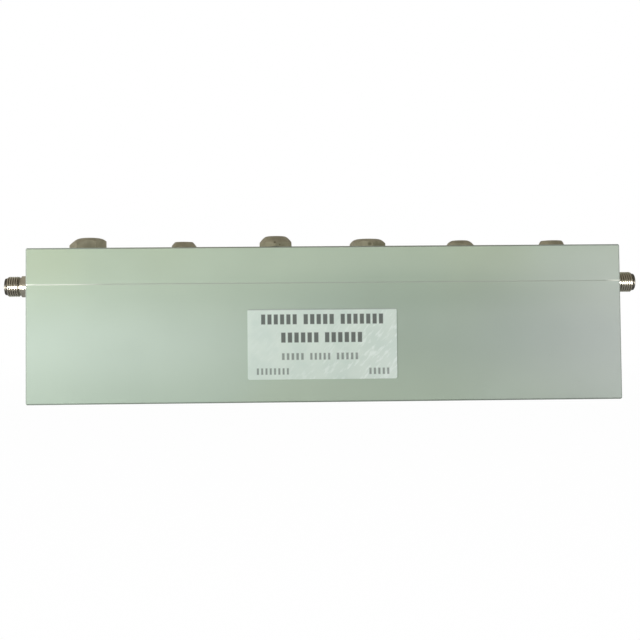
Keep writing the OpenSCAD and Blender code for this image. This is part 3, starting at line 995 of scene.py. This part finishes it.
# Lamps: place, aim, width and height in millimetres, power in watts, and whether it only makes a
# gleam on the jacks. The two kickers lie just above the floor in front of the jacks.
Lamp = namedtuple("Lamp", "name place aim width height power gleam")
LAMPS = (
    Lamp("left_softbox", (-260, -160, 27), (-80, -19, 15), 140, 50, 0.42, False),
    Lamp("front_softbox", (-420, -300, 110), (-60, -19, 25), 200, 200, 0.72, False),
    Lamp("right_softbox", (180, -150, 22), (85, -19, 20), 100, 40, 0.09, False),
    Lamp("back_softbox", (0, 380, 260), (0, 19, 30), 400, 200, 1.0, False),
    Lamp("end_softbox", (420, 60, 160), (90, 0, 20), 200, 200, 0.45, False),
    Lamp("left_kicker", (-120, -100, 2), (-94, -5, 34), 60, 60, 0.3, True),
    Lamp("right_kicker", (132, -100, 2), (94, -5, 34), 60, 60, 0.2, True),
)


def rays(graph):
    """1 for rays from the camera, and 1 for rays that show the background in or through a piece."""
    path = "ShaderNodeLightPath"
    camera = graph.node(path, output="Is Camera Ray")
    mirror = graph.node(path, output="Is Glossy Ray")
    through = graph.node(path, output="Is Transmission Ray")
    return camera, mirror.most(through)


class StageOperator(Operator):
    """Set up the floor, the lamps, the sky and the camera"""
    bl_idname = "bandstop.stage"
    bl_label = "Stage"

    def execute(self, context):
        look = context.scene.bandstop_stage
        self.make_floor(look)
        self.make_room(look)
        self.make_sky(context.scene, look)
        for lamp in LAMPS:
            self.make_lamp(lamp)
        self.make_camera(context.scene, look)
        context.scene.view_settings.view_transform = "Standard"
        return {"FINISHED"}

    def make_floor(self, look):
        """A pale floor, white to the camera and in mirrors, but dimmer there near the filter."""
        floor = added("floor", bpy.ops.mesh.primitive_circle_add, vertices=64, radius=look.floor_r,
                      fill_type="NGON", location=(0, 0, -FLOOR_DROP * MM))
        settle(floor)
        finish = Finish("pale_floor")
        past_end = abs(finish.along("X")) - BLOCK_HIGH.x / MM
        past_face = abs(finish.along("Y")) - BLOCK_HIGH.y / MM
        away = past_end.most(past_face)
        camera, mirror = rays(finish)
        white = camera * (look.floor_white + (1 - look.floor_white) * finish.step(away, *WHITE_OVER))
        shaded = (1 - look.floor_near) * (1 - finish.step(away, *SHADE_OVER))
        light = 1 - mirror * shaded
        paper = finish.node("ShaderNodeBsdfDiffuse", inputs={"Color": look.floor})
        glow = finish.node("ShaderNodeEmission", inputs={"Color": (1, 1, 1), "Strength": light})
        sheet = finish.node("ShaderNodeMixShader", inputs={0: white.most(mirror), 1: paper, 2: glow})
        self.cover(floor, finish, sheet)

    def make_room(self, look):
        """A dim dome over the floor that shows in reflections alone, brighter at its left."""
        room = added("dim_room", bpy.ops.mesh.primitive_uv_sphere_add, segments=48, ring_count=24,
                     radius=look.dim_r)
        with editing():
            bpy.ops.mesh.bisect(plane_co=(0, 0, look.dim_low), plane_no=(0, 0, 1), clear_inner=True)
            bpy.ops.mesh.select_all(action="SELECT")
            bpy.ops.mesh.flip_normals()
        finish = Finish("dim_room")
        edge = look.dim_r / MM
        lit = 1 - finish.step(finish.along("X"), -edge, ROOM_GLOW_TO * edge)
        strength = 1 + ROOM_GLOW * lit
        glow = finish.node("ShaderNodeEmission", inputs={"Color": look.dim, "Strength": strength})
        self.cover(room, finish, glow)
        room.visible_camera = False
        room.visible_diffuse = False
        room.visible_shadow = False

    def cover(self, piece, finish, surface):
        """Gives a stage piece a surface of its own."""
        finish.show("Material Output", surface)
        finish.tree.nodes.remove(finish.shader)
        piece.data.materials.append(finish.material)

    def make_sky(self, scene, look):
        """Even light from all around, white to the camera and in mirrors."""
        scene.world = bpy.data.worlds.new("studio")
        scene.world.use_nodes = True
        sky = Graph(scene.world.node_tree)
        sky.tree.nodes.remove(sky.tree.nodes["Background"])
        shed = sky.node("ShaderNodeBackground", inputs={"Color": (1, 1, 1), "Strength": look.ambient})
        seen = sky.node("ShaderNodeBackground", inputs={"Color": (1, 1, 1), "Strength": 1})
        camera, mirror = rays(sky)
        both = sky.node("ShaderNodeMixShader", inputs={0: camera.most(mirror), 1: shed, 2: seen})
        sky.show("World Output", both)

    def make_lamp(self, lamp):
        """An area lamp that the camera doesn't see. Metal mirrors it only if it is for a gleam."""
        place = Vector(lamp.place) * MM
        aim = Vector(lamp.aim) * MM
        light = added(lamp.name, bpy.ops.object.light_add, type="AREA", location=place)
        light.rotation_euler = (aim - place).to_track_quat("-Z", "Y").to_euler()
        light.data.shape = "RECTANGLE"
        light.data.size = lamp.width * MM
        light.data.size_y = lamp.height * MM
        light.data.energy = lamp.power
        light.visible_camera = False
        light.visible_glossy = lamp.gleam
        if lamp.gleam:
            self.keep_to_jacks(light)

    def keep_to_jacks(self, light):
        """Lets a light fall on the two jacks alone."""
        jacks = bpy.data.collections.new(light.name)
        for node in at_ends("jack_body"):
            jacks.objects.link(bpy.data.objects["dressed_" + node])
        light.light_linking.receiver_collection = jacks

    def make_camera(self, scene, look):
        """The camera at the photograph's place and angle."""
        camera = added("camera", bpy.ops.object.camera_add)
        camera.data.sensor_width = SENSOR
        camera.data.lens = look.lens
        camera.data.shift_x = look.shift_x
        camera.data.shift_y = look.shift_y
        camera.data.clip_start = NEAREST
        camera.data.clip_end = FARTHEST
        turn = (Matrix.Rotation(look.camera_yaw, 4, "Z")
                @ Matrix.Rotation(math.pi / 2 + look.camera_pitch, 4, "X")
                @ Matrix.Rotation(look.camera_roll, 4, "Z"))
        camera.matrix_world = Matrix.Translation(look.camera_place) @ turn
        scene.camera = camera


# The add-on

STEPS = (
    (HousingOperator, PaintSettings, "bandstop_paint"),
    (LabelOperator, LabelSettings, "bandstop_label"),
    (TunersOperator, TunerSettings, "bandstop_tuners"),
    (JacksOperator, JackSettings, "bandstop_jacks"),
    (InsideOperator, InsideSettings, "bandstop_inside"),
    (StageOperator, StageSettings, "bandstop_stage"),
)


class BandstopPanel(Panel):
    """Lists the filter's parts and their settings"""
    bl_idname = "VIEW3D_PT_bandstop"
    bl_label = "Bandstop Filter"
    bl_space_type = "VIEW_3D"
    bl_region_type = "UI"
    bl_category = "Bandstop Filter"

    def draw(self, context):
        for operator, settings, name in STEPS:
            box = self.layout.box()
            box.operator(operator.bl_idname)
            for key in settings.__annotations__:
                box.prop(getattr(context.scene, name), key)


def register():
    """Adds the settings, the operators and the panel to Blender."""
    for operator, settings, name in STEPS:
        bpy.utils.register_class(settings)
        bpy.utils.register_class(operator)
        setattr(bpy.types.Scene, name, PointerProperty(type=settings))
    bpy.utils.register_class(BandstopPanel)


def unregister():
    """Takes them out again."""
    bpy.utils.unregister_class(BandstopPanel)
    for operator, settings, name in reversed(STEPS):
        delattr(bpy.types.Scene, name)
        bpy.utils.unregister_class(operator)
        bpy.utils.unregister_class(settings)


def main():
    """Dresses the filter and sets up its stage."""
    register()
    bpy.ops.bandstop.housing()
    bpy.ops.bandstop.label()
    bpy.ops.bandstop.tuners()
    bpy.ops.bandstop.jacks()
    bpy.ops.bandstop.inside()
    bpy.ops.bandstop.stage()


if __name__ == "__main__":
    main()
